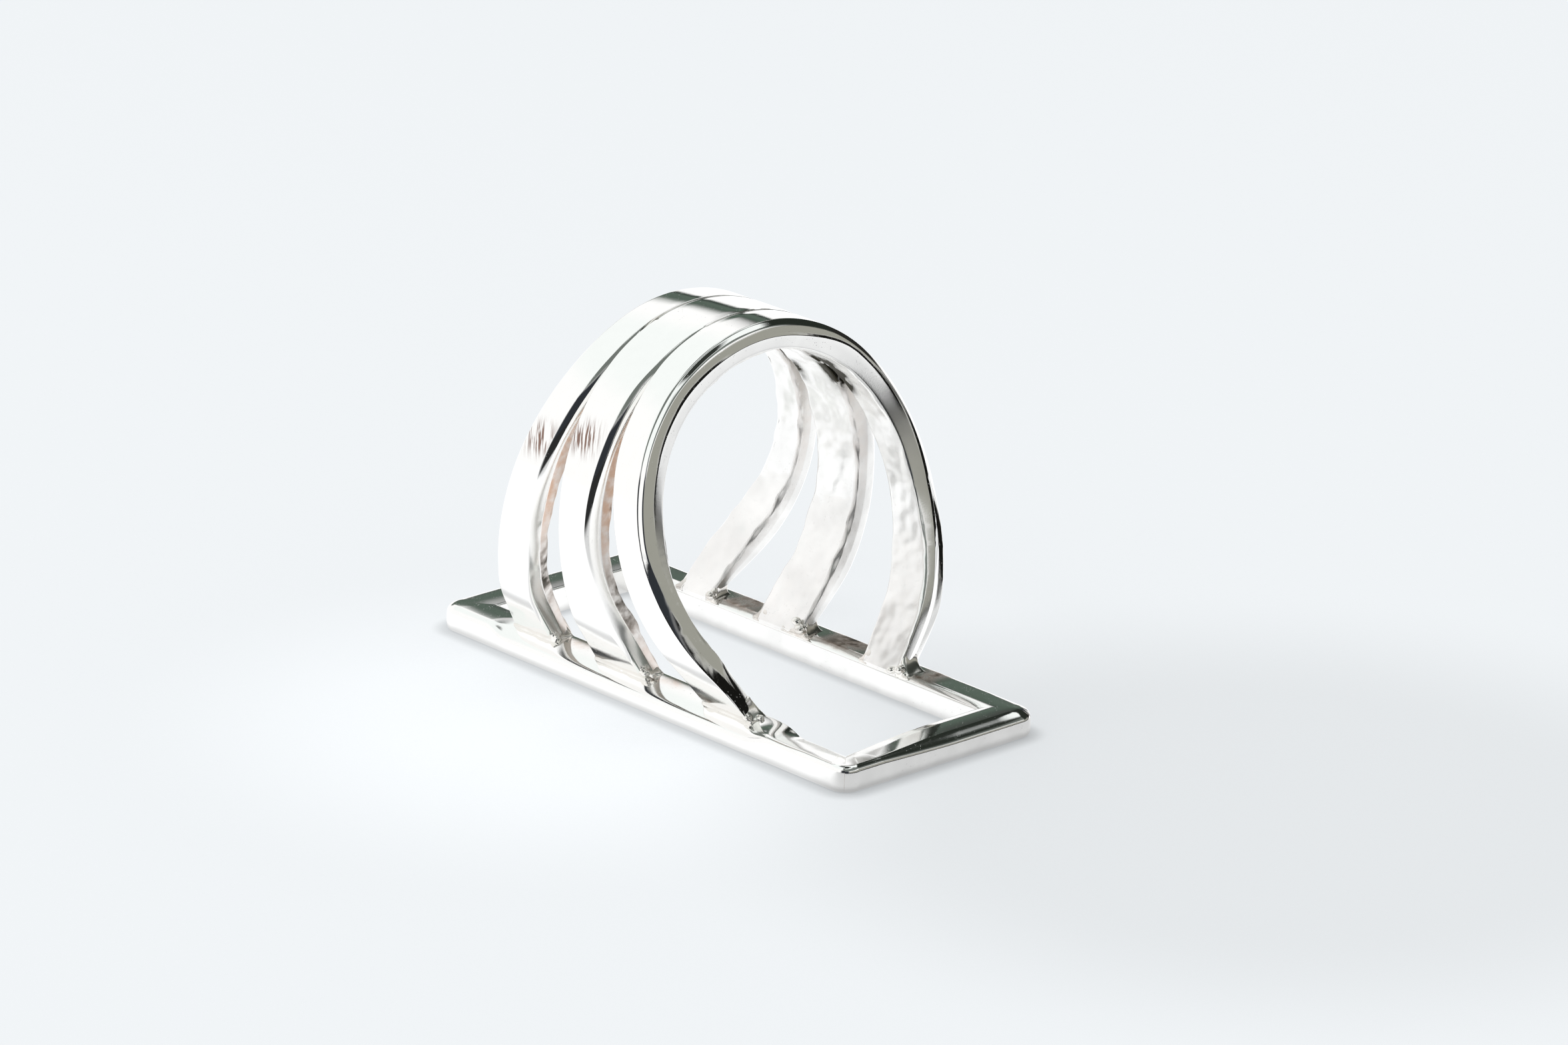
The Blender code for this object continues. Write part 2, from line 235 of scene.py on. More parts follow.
# Beads at each foot: (x, distance from the middle plane, z, radius).
FOOT_BEADS = {
    ("front", "near"): ((7.75, 6.1, 1.62, 0.26), (8.1, 5.4, 1.55, 0.2)),
    ("front", "far"): ((7.9, 4.9, 1.75, 0.3), (7.4, 4.75, 1.62, 0.26)),
    ("middle", "near"): ((-0.45, 6.05, 1.7, 0.26), (-0.1, 5.8, 1.62, 0.2)),
    ("middle", "far"): ((0.1, 4.8, 1.85, 0.36), (-0.3, 4.9, 2.2, 0.28)),
    ("rear", "near"): ((-7.9, 5.9, 1.6, 0.2),),
    ("rear", "far"): ((-7.3, 4.9, 1.7, 0.32),),
}
# The bead where each crown seam opens: (angle, x, distance from the hole's axis, radius).
SEAM_BEADS = {
    "front": (-SEAM_END - 1.5, -0.15, 9.75, 0.24),
    "rear": (-SEAM_END - 1.0, -3.45, 9.5, 0.2),
}

# Metal: (colour, roughness), the colours of what lies on it, and of the shade painted on it.
POLISHED = ((0.97, 0.965, 0.95), 0.035)
MELTED = ((0.93, 0.91, 0.87), 0.06)
STAIN_COLOUR = (0.68, 0.47, 0.35)
BRUSHED_COLOUR = (0.26, 0.17, 0.14)
# Black, for soot and for the painted shade in the slit openings.
SOOT_AND_SHADE_COLOUR = (0.05, 0.045, 0.03)
PIT_COLOUR = (0.16, 0.13, 0.10)
MOTTLED_TONE = 0.96
# Painted shade: satin places, mostly the inner faces, darken to this share of their colour in broad
# patches, standing in for their grey shading.
PAINTED_SHADE_TONE = 0.80
STREAK_SKEW = 0.35
STREAK_STRETCH = (0.6, 7.0, 7.0)
METAL_BUMP = 0.00001

# Paper, in metres.
PAPER_SIZE = 4.0
PAPER_COLOUR = (0.855, 0.88, 0.90, 1.0)
PAPER_GRAIN = 6000.0
PAPER_BUMP = 0.00003
# A painted glow on the paper, seen only by the camera, which softens the shadows on it.
GLOW_COLOUR = (0.875, 0.905, 0.93, 1.0)
GLOW_SHARE = 0.6
CONTACT_WIDTH = 0.0010
CONTACT_SHADE = 0.66
# Painted light and shadow in the paper's glow, brighter for a positive amount and darker for a
# negative one: (centre, core, reach, amount).
PAINTED_LIGHT_ON_PAPER = (
    ((-0.001, -0.011, 0.0), 0.003, 0.026, 0.22),
    ((0.0, 0.012, 0.0), 0.003, 0.012, 0.06),
    ((0.032, 0.009, 0.0), 0.016, 0.034, -0.17),
)
MIRRORED_COLOUR = (0.93, 0.94, 0.95, 1.0)
MIRRORED_SHARE = 0.97
# Mirrored in the metal, the paper dims at the frame's front end and brightens beyond it:
# (start and end from there, strength at the start and at the end).
MIRRORED_DIMMING = (-0.004, 0.001, 1.25, 0.76)
MIRRORED_REGAIN = (0.006, 0.020, 0.0, 0.24)
# It turns dark beyond this distance, between these two bearings.
DARK_FROM = (0.030, 0.040)
DARK_RIGHT = (math.radians(-72.0), math.radians(-62.0))
DARK_LEFT = (math.radians(28.0), math.radians(20.0))

# The dome, in degrees: what the camera sees, what lights the scene, what the metal mirrors.
DOME_SEEN = (0.87, 0.905, 0.93)
DOME_LIGHTING = (0.965, 0.97, 0.965)
DOME_LOW = (1.06, 1.06, 1.06)
DOME_HIGH = (0.98, 1.02, 1.01)
DOME_HIGH_FROM = 38.0
DOME_TOP = 90.5
DOME_SOFTNESS = 6.0
DOME_RIPPLE = 6.0
# (bearing from +X, low and high; height above the horizon, low and high; softness; colour)
DARK_PATCHES = (
    (105.0, 165.0, 15.0, 25.0, 3.0, (0.10, 0.135, 0.11)),
    (105.0, 165.0, 14.0, 17.0, 1.0, (0.03, 0.045, 0.035)),
    (-22.0, 90.0, 7.0, 24.0, 2.0, (0.34, 0.34, 0.30)),
    (-22.0, 84.0, -8.0, 7.0, 0.8, (0.008, 0.008, 0.007)),
    (84.0, 120.0, 4.0, 28.0, 2.0, (0.02, 0.02, 0.018)),
    (50.0, 138.0, 22.0, 50.0, 2.5, (0.02, 0.025, 0.02)),
    (-58.0, 60.0, 31.0, 64.0, 4.0, (0.17, 0.19, 0.175)),
    (-66.0, -20.0, -8.0, 31.0, 3.0, (0.03, 0.034, 0.04)),
    (-180.0, 180.0, 72.0, DOME_TOP, 4.0, (0.03, 0.035, 0.03)),
)

# One large soft light, in metres.
SOFTBOX_PLACE = (-0.10, -0.15, 0.30)
SOFTBOX_SIZE = 0.22
SOFTBOX_ENERGY = 0.13

# Camera, as the object was seen.
CAMERA_AZIMUTH = 46.893
CAMERA_ELEVATION = 19.5
CAMERA_ROLL = 1.398
CAMERA_DISTANCE = 375.6
CAMERA_TARGET = (-0.674, 4.129, 8.0)
CAMERA_LENS = 158.07


# ---- small tools

def smooth_step(value, start, end):
    """0 before start, 1 after end, and a smooth rise between them."""
    t = min(1.0, max(0.0, (value - start) / (end - start)))
    return t * t * (3.0 - 2.0 * t)


def bump_at(value, centre, half_width):
    """1 at the centre, falling smoothly to 0 at half_width from it."""
    return 1.0 - smooth_step(abs(value - centre), 0.0, half_width)


def evenly(start, end, steps):
    """Steps + 1 values from start to end."""
    return [start + (end - start) * i / steps for i in range(steps + 1)]


def through_stations(values, angle):
    """A smooth curve through one edge's stations."""
    last = len(STATIONS) - 1
    k = max(i for i in range(last) if STATIONS[i] <= angle or i == 0)
    slopes = []
    for i in (k, k + 1):
        low, high = max(i - 1, 0), min(i + 1, last)
        slopes.append((values[high] - values[low]) / (STATIONS[high] - STATIONS[low]))
    if k == 0:
        slopes[0] = 0.0
    span = STATIONS[k + 1] - STATIONS[k]
    t = (angle - STATIONS[k]) / span
    rise = values[k + 1] - values[k]
    bend = (slopes[0] * span - rise) * (1.0 - t) - (slopes[1] * span - rise) * t
    return values[k] + rise * t + t * (1.0 - t) * bend


def wavy(point, length, seed):
    """Smooth noise between -1 and 1 that changes over the given length."""
    return noise.noise(Vector(point) / length + Vector((seed * 7.3, seed * 3.1, -seed * 5.7)))


def blend_rows(rows_a, rows_b, share):
    """Rows part of the way from one list to another."""
    rows = []
    for row_a, row_b in zip(rows_a, rows_b):
        rows.append(tuple(a + (b - a) * share for a, b in zip(row_a, row_b)))
    return rows


def walk(rows, row_steps):
    """Points (across, height, tilt) along a list of rows, from (0, 0) downwards."""
    across = height = 0.0
    points = [(across, height, rows[0][1])]
    for (width, start, end), steps in zip(rows, row_steps):
        for i in range(steps):
            turn = math.radians(start + (end - start) * (i + 0.5) / steps)
            across += width / steps * math.cos(turn)
            height -= width / steps * math.sin(turn)
            points.append((across, height, start + (end - start) * (i + 1.0) / steps))
    return points


# ---- hoops

def hoop_edges(hoop, angle):
    """The front and back X of a hoop at a signed angle, near side negative."""
    side = "near" if angle < 0.0 else "far"
    edges = HOOPS[hoop]
    front = through_stations(edges[side + "_front"], abs(angle))
    back = through_stations(edges[side + "_back"], abs(angle))
    joined = SEAM_HALF_GAP * (1.0 - smooth_step(abs(angle), *SEAM_OPENS))
    if hoop != "front_hoop":
        front += joined
    if hoop != "rear_hoop":
        back -= joined
    return front, back


def polar_point(radius, angle):
    """A point of the hoop's plane, as Y and Z, from its radius and angle."""
    turn = math.radians(angle)
    y = radius * math.sin(turn)
    z = HOOP_CENTRE_Z + HOOP_STRETCH * radius * math.cos(turn)
    return y, z


def leg_line(radius, foot_y):
    """The angle at which a straight leg leaves the circle, and the foot's angle."""
    drop = (bar_height - HOOP_CENTRE_Z) / HOOP_STRETCH
    foot_angle = math.degrees(math.atan2(foot_y, drop))
    leaves = foot_angle - math.degrees(math.acos(radius / math.hypot(foot_y, drop)))
    return leaves, foot_angle


def face_point(radius, foot_y, angle):
    """A point of the hoop's inner or outer face: round above, straight in the leg."""
    leaves, foot_angle = leg_line(radius, foot_y)
    size = abs(angle)
    into_leg = max(0.0, size - LEG_START) / (STATIONS[-1] - LEG_START)
    turned = size + (foot_angle - STATIONS[-1]) * into_leg * into_leg
    reach = radius / math.cos(math.radians(max(0.0, turned - leaves)))
    return polar_point(reach, math.copysign(turned, angle))


def hoop_faces(hoop, angle):
    """The inner and outer face's points in the hoop's plane, and the thickness."""
    inner_y, inner_z = face_point(FINGER_RADIUS, FOOT_INNER_Y, angle)
    outer_y, outer_z = face_point(HOOP_RADIUS, FOOT_OUTER_Y, angle)
    if hoop == "front_hoop" and angle < 0.0:
        filed = FILED_SHARE * smooth_step(-angle, *FILED_FROM)
        filed *= 1.0 - smooth_step(-angle, *FILED_UNTIL)
        inner_y += (outer_y - inner_y) * filed
        inner_z += (outer_z - inner_z) * filed
    thickness = math.hypot(outer_y - inner_y, outer_z - inner_z)
    return (inner_y, inner_z), (outer_y, outer_z), thickness


def side_rows(hoop, side, angle):
    """The rows of one side face of a hoop at an angle."""
    if hoop == "front_hoop" and side == "front":
        if angle < 0.0:
            rows = blend_rows(PROUD_SIDE, PROUD_SIDE_LOW[0], smooth_step(-angle, 86.0, 105.0))
            stretches = zip(PROUD_LOW_AT, PROUD_LOW_AT[1:], PROUD_SIDE_LOW[1:])
            for low, high, lower_rows in stretches:
                share = min(1.0, max(0.0, (-angle - low) / (high - low)))
                rows = blend_rows(rows, lower_rows, share)
            return rows
        rows = blend_rows(PROUD_SIDE, PROUD_SIDE_FAR, smooth_step(angle, 12.0, 40.0))
        return blend_rows(rows, PROUD_SIDE_FAR_LOW, smooth_step(angle, 62.0, 125.0))
    if hoop == "rear_hoop" and side == "back":
        return BACK_SIDE
    free = SLIT_SIDE if side == "front" else BACK_SIDE
    at_rear = hoop == "rear_hoop" or (hoop == "middle_hoop" and side == "back")
    groove = REAR_SEAM_GROOVE if at_rear else FRONT_SEAM_GROOVE
    rows = blend_rows(JOINED_SIDE, GROOVE_SIDE, smooth_step(abs(angle), *groove))
    return blend_rows(rows, free, smooth_step(abs(angle), *GROOVE_UNTIL))


def side_profile(hoop, side, angle, thickness):
    """Points (x from the edge, height, tilt) from the outer face to the inner face."""
    points = walk(side_rows(hoop, side, angle), SIDE_STEPS)
    scale = thickness / -points[-1][1]
    if hoop == "front_hoop" and side == "front":
        middle = min(points, key=lambda point: abs(point[1] * scale + thickness * 0.5))
        edge = middle[0] * scale
    else:
        edge = points[ARRIS_STEP][0] * scale + ARRIS_INSET
    return [(x * scale - edge, thickness + height * scale, tilt) for x, height, tilt in points]


def hoop_section(hoop, angle):
    """One fine section of a hoop: points (x, height, tilt, side) all the way round."""
    front, back = hoop_edges(hoop, angle)
    thickness = hoop_faces(hoop, angle)[2]
    front_side = side_profile(hoop, "front", angle, thickness)
    back_side = side_profile(hoop, "back", angle, thickness)
    lean = 0.0
    if hoop != "front_hoop":
        lean = INNER_LEAN * smooth_step(abs(angle), *LEAN_FROM)
        lean = max(0.0, lean - max(x for x, h, tilt in front_side))
    ahead = [(front + x + lean * (1.0 - h / thickness), h, tilt, 1) for x, h, tilt in front_side]
    behind = [(back - x + lean * (1.0 - h / thickness), h, tilt, -1) for x, h, tilt in back_side]
    under = [(x, 0.0, 180, 0) for x in evenly(ahead[-1][0], behind[-1][0], FACE_STEPS)]
    over = [(x, thickness, 0, 0) for x in evenly(behind[0][0], ahead[0][0], FACE_STEPS)]
    outline = ahead + under[1:-1] + behind[::-1] + over[1:-1]
    half = (ahead[0][0] - behind[0][0]) * 0.5
    centre = behind[0][0] + half
    section = []
    for x, h, tilt, side in outline:
        share = (h / thickness) ** 6 * smooth_step(abs(angle), *CROWNED_FROM)
        off_centre = min(1.0, abs(x - centre) / half)
        if hoop == "front_hoop":
            ragged = RAGGED_EDGE_FRONT * smooth_step(tilt, 125.0, 160.0)
        else:
            ragged = RAGGED_EDGE * smooth_step(tilt, 100.0, 140.0)
            ragged *= smooth_step(abs(angle), *LEAN_FROM)
        x += side * ragged * wavy((0.18 * angle, side, 0.0), RAGGED_LENGTH, 4.0)
        section.append((x, h - OUTER_CROWNING * share * off_centre ** 2, tilt, side))
    return section, thickness


def hoop_piece(hoop):
    """Rings of points, and at each point (place on the strip, wear and painted shade, brush marks,
    push).
    """
    foot = STATIONS[-1]
    rings, surface = [], []
    for angle in evenly(-foot, foot, HOOP_STEPS):
        section, thickness = hoop_section(hoop, angle)
        (iy, iz), (oy, oz) = hoop_faces(hoop, angle)[:2]
        ring = []
        for x, h, tilt, side in section:
            share = h / thickness
            point = (x, iy + (oy - iy) * share, iz + (oz - iz) * share)
            ring.append(point)
            surface.append(((math.radians(angle) * HOOP_RADIUS, x, h),
                            hoop_wear_and_shade(hoop, angle, x, tilt, side),
                            brushed_patch(hoop, angle, x, tilt),
                            hoop_push(hoop, angle, point, tilt)))
        rings.append(ring)
    count = len(rings[0])
    sunk = Vector((0.0, 0.0, -FOOT_SINK))
    rings.insert(0, [tuple(Vector(point) + sunk) for point in rings[0]])
    rings.append([tuple(Vector(point) + sunk) for point in rings[-1]])
    return rings, surface[:count] + surface + surface[-count:]


def hoop_wear_and_shade(hoop, angle, x, tilt, side):
    """How satin, stained and sooty the metal is, and where black shade is painted in the slit
    openings.
    """
    size = abs(angle)
    near = 1.0 if angle < 0.0 else 0.15
    inside = smooth_step(tilt, 96.0, 150.0)
    satin = 0.6 * inside
    stain = 0.04 * inside * smooth_step(size, 110.0, 145.0)
    soot_and_shade = 0.0
    if hoop == "front_hoop" and side == 1:
        polished_leg = smooth_step(-angle, 95.0, 110.0)
        satin = max(satin, 0.45 * smooth_step(tilt, 86.0, 90.0)) * (1.0 - polished_leg)
    if hoop != "front_hoop" and side == 1:
        bevel = smooth_step(tilt, 88.0, 98.0) * smooth_step(size, 30.0, 38.0)
        satin = max(satin, 0.8 * bevel, 0.35 * smooth_step(tilt, 74.0, 80.0))
        fading = 1.0 - 0.6 * smooth_step(size, 80.0, 110.0)
        stain = max(stain, near * bevel * fading)
        soot_and_shade = near * bevel * bump_at(size, 118.0, 22.0)
        if angle > 0.0:
            satin = max(satin, smooth_step(tilt, 60.0, 80.0) * smooth_step(angle, 40.0, 60.0))
    if hoop == "front_hoop":
        satin = max(satin, inside * mark_at(angle, x, HOLLOW))
    # Painted shade: the slit openings are blackened through the soot mask.
    if hoop != "rear_hoop":
        slit_shade = max(mark_at(angle, x, mark) for mark in PAINTED_SLIT_SHADE)
        soot_and_shade = max(soot_and_shade, smooth_step(tilt, 70.0, 90.0) * slit_shade)
    return satin, stain, soot_and_shade


def brushed_patch(hoop, angle, x, tilt):
    """A patch of coarse brush marks on the outer face near the shoulder."""
    if hoop == "front_hoop" or tilt > 20.0:
        return 0.0
    return mark_at(angle, x, BRUSHED[hoop])


def hoop_push(hoop, angle, point, tilt):
    """How far the surface stands proud of its ideal shape."""
    inside = smooth_step(tilt, 125.0 if hoop == "front_hoop" else 100.0, 160.0)
    push = WAVE_HEIGHT * wavy(point, WAVE_LENGTH, 1.0)
    rough = 1.0 if hoop != "front_hoop" else 0.7
    push += LUMP_HEIGHT * rough * inside * wavy(point, LUMP_LENGTH, 2.0)
    push += 0.4 * LUMP_HEIGHT * rough * inside * wavy(point, 0.35 * LUMP_LENGTH, 3.0)
    push -= crown_sag(angle, point[0]) * (1.0 - smooth_step(tilt, 45.0, 90.0))
    if hoop == "front_hoop":
        push -= HOLLOW_DEPTH * mark_at(angle, point[0], HOLLOW) * inside
    return push


def crown_sag(angle, x):
    """How far the outer face is polished down at a place near the crown."""
    sag = CROWN_SAG * ((x - CROWN_MIDDLE_X) / CROWN_HALF_WIDTH) ** 2
    for seam_x, depth in SEAM_DENTS:
        sag += depth * bump_at(x, seam_x, SEAM_DENT_WIDTH)
    return sag * bump_at(angle, 0.0, 40.0)


def mark_at(angle, x, mark):
    """How strong a mark on a hoop is at a place."""
    centre, half_width, centre_x, half_width_x, amount = mark
    return amount * bump_at(angle, centre, half_width) * bump_at(x, centre_x, half_width_x)


# ---- bars

def bar_profile(rows):
    """Points (distance out from the inner side, z, tilt) over the bar, outer side first."""
    points = [(-across, -height, tilt) for across, height, tilt in walk(rows, ROW_STEPS)]
    low_x, high_x = min(p[0] for p in points), max(p[0] for p in points)
    top = max(p[1] for p in points)
    scaled = []
    for x, z, tilt in points:
        scaled.append(((x - low_x) / (high_x - low_x) * bar_width, z / top * bar_height, tilt))
    scaled[-1] = (0.0, 0.0, -90.0)
    return scaled


def bar_end_stations(half_length):
    """Plan lines across one end of a bar, from the start of its corner to its mitre."""
    half_window = half_length - bar_width
    stations = []
    for i in range(CORNER_STEPS + 1):
        turn = math.radians(45.0 * i / CORNER_STEPS)
        normal = Vector((math.sin(turn), math.cos(turn)))
        centre = Vector((half_length - CORNER_RADIUS, bar_width - CORNER_RADIUS))
        outer = centre + normal * CORNER_RADIUS
        inner = Vector((half_window - CORNER_INNER_STEP * (CORNER_STEPS - i), 0.0))
        direction = (outer - inner).normalized()
        stations.append((inner, outer, 1.0 / direction.y, 1.0 / direction.dot(normal)))
    return stations


def bar_section(station, profile):
    """A bar's section on the vertical plane through two points of the plan."""
    inner, outer, inner_stretch, outer_stretch = station
    length = (outer - inner).length
    direction = (outer - inner) / length
    points = []
    for across, z, tilt in profile:
        from_inner = across * inner_stretch
        from_outer = length - (bar_width - across) * outer_stretch
        share = smooth_step(across / bar_width, 0.2, 0.8)
        spot = inner + direction * (from_inner + (from_outer - from_inner) * share)
        points.append((spot.x, spot.y, z, tilt))
    return points


def bar_rows(side, place):
    """The rows of a bar's section at a place along it."""
    if side == "near":
        share = smooth_step(place.x, *WORN_UNTIL) + 1.0 - smooth_step(place.x, *WORN_FROM)
        ends = LIGHT_TOP if place.x > 0.0 else FLAT_TOP
        return blend_rows(WORN_TOP, ends, share)
    if side == "far":
        ends = DOMED_TOP if place.x > 0.0 else FLAT_TOP
        return blend_rows(RIDGED_TOP, ends, smooth_step(abs(place.x), *RIDGED_UNTIL))
    if side == "front":
        return blend_rows(LIGHT_TOP, DOMED_TOP, smooth_step(place.y, *LIGHT_UNTIL))
    return FLAT_TOP


def bar_piece(side, length, centre, turn):
    """Rings of points, and at each point (place on the strip, wear and painted shade, brush marks,
    push).
    """
    gap = MITRE_GAP * math.sqrt(2.0)
    ends = bar_end_stations(length * 0.5)
    right = []
    for inner, outer, inner_stretch, outer_stretch in ends:
        inner, outer = Vector((inner.x - gap, inner.y)), Vector((outer.x - gap, outer.y))
        right.append((inner, outer, inner_stretch, outer_stretch))
    left = [(Vector((-a.x, a.y)), Vector((-b.x, b.y)), s, t) for a, b, s, t in right[::-1]]
    straight = []
    reach = right[0][0].x
    for x in evenly(-reach, reach, BAR_STEPS)[1:-1]:
        straight.append((Vector((x, 0.0)), Vector((x, bar_width)), 1.0, 1.0))
    spin = Matrix.Rotation(math.radians(turn), 2)
    rings, surface = [], []
    for station in left + straight + right:
        ring = []
        place = spin @ station[0]
        for x, y, z, tilt in bar_section(station, bar_profile(bar_rows(side, place))):
            spot = spin @ Vector((x, y)) + Vector(centre)
            point = (spot.x, spot.y, z)
            ring.append(point)
            surface.append(((x, y, z), bar_wear(side, point, tilt), 0.0, bar_push(side, point, tilt)))
        rings.append(ring)
    return rings, surface


def mitre_piece(sign_x, sign_y):
    """The thin plate of solder in one mitre, a hair below the bars on both sides of it."""
    inner, outer, inner_stretch, outer_stretch = bar_end_stations(frame_length * 0.5)[-1]
    across = Vector((-sign_x, sign_y)).normalized() * (MITRE_GAP + MITRE_OVERLAP)
    corner = Vector((sign_x * outer.x, sign_y * outer.y))
    profile = bar_profile(bar_rows("near" if sign_y < 0 else "far", corner))
    rings = []
    for shift in (-1, 1):
        ends = []
        for spot in (inner, outer):
            ends.append(Vector((sign_x * spot.x, sign_y * (spot.y + window_y))) + across * shift)
        station = (*ends, inner_stretch, outer_stretch)
        rings.append([point[:3] for point in bar_section(station, profile)])
    return rings, [(point, MITRE_WEAR, 0.0, -MITRE_DEPTH) for point in rings[0] + rings[1]]


def bar_wear(side, point, tilt):
    """How satin, stained and sooty the bar is."""
    satin = 0.1
    if side in ("front", "near"):
        at_front = smooth_step(point[0], 14.4, 16.2)
        satin += 0.4 * at_front * smooth_step(tilt, 70.0, 88.0)
    satin = max(satin, 0.5 * smooth_step(-tilt, 60.0, 88.0))
    stain = soot_and_shade = 0.0
    if side in ("near", "far"):
        top = 1.0 - smooth_step(abs(tilt), 8.0, 24.0)
        if side == "near":
            top *= smooth_step(point[1], -6.2, -5.5)
        for x, width, amount in STAINED[side]:
            patch = top * amount * bump_at(point[0], x, width)
            stain = max(stain, patch)
            soot_and_shade = max(soot_and_shade, patch * smooth_step(amount, 0.5, 1.0))
    return max(satin, 0.5 * stain), stain, soot_and_shade


def bar_push(side, point, tilt):
    """How far the bar's surface stands proud of its ideal shape."""
    push = 0.8 * WAVE_HEIGHT * wavy(point, WAVE_LENGTH, 5.0)
    if side == "near":
        top = 1.0 - smooth_step(abs(tilt), 20.0, 60.0)
        lumps = FILED_LUMPS * top * smooth_step(point[0], *FILED_LUMPS_FROM)
        push += lumps * wavy(point, FILED_LUMPS_LENGTH, 6.0)
    return push


# ---- meshes

def loft(rings):
    """Vertices and faces through rings of points, closed at both ends."""
    count = len(rings[0])
    vertices = [point for ring in rings for point in ring]
    last = len(vertices) - count
    faces = []
    for start in range(0, last, count):
        for j in range(count):
            k = (j + 1) % count
            faces.append((start + j, start + k, start + count + k, start + count + j))
    faces.append(tuple(range(count)))
    faces.append(tuple(range(last, last + count)))
    return vertices, faces


def add_piece(name, vertices, faces, material, node, sharp=SHARP_ANGLE):
    """A named object in metres, which stands for its CAD node and rides on the ring."""
    mesh = bpy.data.meshes.new(name)
    mesh.from_pydata([Vector(v) * MM for v in vertices], [], faces)
    turn_faces_out(mesh)
    mesh.materials.append(material)
    mesh.shade_smooth()
    mesh.set_sharp_from_angle(angle=math.radians(sharp))
    piece = bpy.data.objects.new(name, mesh)
    bpy.context.scene.collection.objects.link(piece)
    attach(piece, BODY)
    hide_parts(node)
    return piece


def turn_faces_out(mesh):
    """Turns all the faces outwards."""
    work = bmesh.new()
    work.from_mesh(mesh)
    bmesh.ops.recalc_face_normals(work, faces=work.faces)
    work.to_mesh(mesh)
    work.free()


def push_out(mesh, push):
    """Moves each vertex along its normal, by millimetres."""
    count = len(mesh.vertices)
    points = np.empty(count * 3)
    normals = np.empty(count * 3)
    mesh.vertices.foreach_get("co", points)
    mesh.vertex_normals.foreach_get("vector", normals)
    moved = points.reshape(-1, 3) + normals.reshape(-1, 3) * np.array(push)[:, None] * MM
    mesh.vertices.foreach_set("co", moved.ravel())
    mesh.update()


def add_surface_data(mesh, strip, wear_and_shade, brushed):
    """Stores what the materials read: place on the strip, wear masks, which also place painted shade,
    and brush marks.
    """
    for label, values in (("strip", strip), ("wear_and_shade", wear_and_shade)):
        attribute = mesh.attributes.new(label, "FLOAT_VECTOR", "POINT")
        attribute.data.foreach_set("vector", np.array(values, np.float32).ravel())
    attribute = mesh.attributes.new("brushed", "FLOAT", "POINT")
    attribute.data.foreach_set("value", np.array(brushed, np.float32))


def add_lofted(name, made, material, node):
    """A lofted piece with its waves, lumps and surface data."""
    rings, surface = made
    strip, wear_and_shade, brushed, push = zip(*surface)
    vertices, faces = loft(rings)
    piece = add_piece(name, vertices, faces, material, node)
    push_out(piece.data, push)
    add_surface_data(piece.data, strip, wear_and_shade, brushed)


# ---- materials

class Nodes:
    """A cleared node tree, with short ways to add nodes and link their inputs."""

    def __init__(self, tree):
        tree.nodes.clear()
        self.tree = tree

    def make(self, kind, inputs=None, **settings):
        """A node with its settings and its inputs, which are values or sockets."""
        node = self.tree.nodes.new(kind)
        for key, value in settings.items():
            setattr(node, key, value)
        for key, value in (inputs or {}).items():
            if isinstance(value, bpy.types.NodeSocket):
                self.tree.links.new(value, node.inputs[key])
            else:
                node.inputs[key].default_value = value
        return node

    def math(self, kind, a, b=0.0, c=0.0, clamp=False):
        """The result of a calculation with numbers."""
        node = self.make("ShaderNodeMath", {0: a, 1: b, 2: c}, operation=kind, use_clamp=clamp)
        return node.outputs[0]

    def vector_math(self, kind, a, b=(0.0, 0.0, 0.0)):
        """The result of a calculation with vectors: a number for a length, else a vector."""
        node = self.make("ShaderNodeVectorMath", {0: a, 1: b}, operation=kind)
        return node.outputs["Value" if kind in ("LENGTH", "DISTANCE") else "Vector"]

    def parts(self, vector):
        """The three numbers of a vector."""
        return self.make("ShaderNodeSeparateXYZ", {0: vector}).outputs[:]

    def ramp(self, value, start, end, low=0.0, high=1.0):
        """A smooth change from low, at the start, to high, at the end."""
        node = self.make("ShaderNodeMapRange", {0: value, 1: start, 2: end, 3: low, 4: high},
                         interpolation_type="SMOOTHSTEP")
        return node.outputs[0]

    def noise(self, vector, scale, detail):
        """Smooth noise between 0 and 1."""
        node = self.make("ShaderNodeTexNoise", {"Vector": vector, "Scale": scale, "Detail": detail})
        return node.outputs["Fac"]

    def patchy(self, mask, pattern, contrast, offset):
        """A mask that a pattern breaks up into patches."""
        patches = self.math("MULTIPLY_ADD", pattern, contrast, offset, clamp=True)
        return self.math("MULTIPLY", mask, patches, clamp=True)

    def mix(self, factor, a, b):
        """A colour between two others, each of them a socket or three numbers."""
        a, b = (v if isinstance(v, bpy.types.NodeSocket) else (*v, 1.0) for v in (a, b))
        return self.make("ShaderNodeMix", {0: factor, 6: a, 7: b}, data_type="RGBA").outputs[2]

    def attribute(self, name, output="Vector"):
        """What a mesh stores under a name."""
        return self.make("ShaderNodeAttribute", attribute_name=name).outputs[output]


def new_material(name):
    """A material and its empty node tree."""
    material = bpy.data.materials.new(name)
    material.use_nodes = True
    return material, Nodes(material.node_tree)


def silver_pits(nodes, place, satin):
    """Small pits, gathered in a few places and fainter where the silver is polished."""
    spots = nodes.make("ShaderNodeTexVoronoi", {"Vector": place, "Scale": 7.0, "Randomness": 1.0})
    around = nodes.math("MULTIPLY", spots.outputs["Distance"], 6.0, clamp=True)
    pits = nodes.math("SUBTRACT", 1.0, around, clamp=True)
    rare = nodes.math("MULTIPLY_ADD", nodes.noise(place, 2.3, 0.0), 6.0, -2.7, clamp=True)
    worn = nodes.math("MULTIPLY_ADD", satin, 0.8, 0.2)
    return nodes.math("MULTIPLY", pits, nodes.math("MULTIPLY", rare, worn))


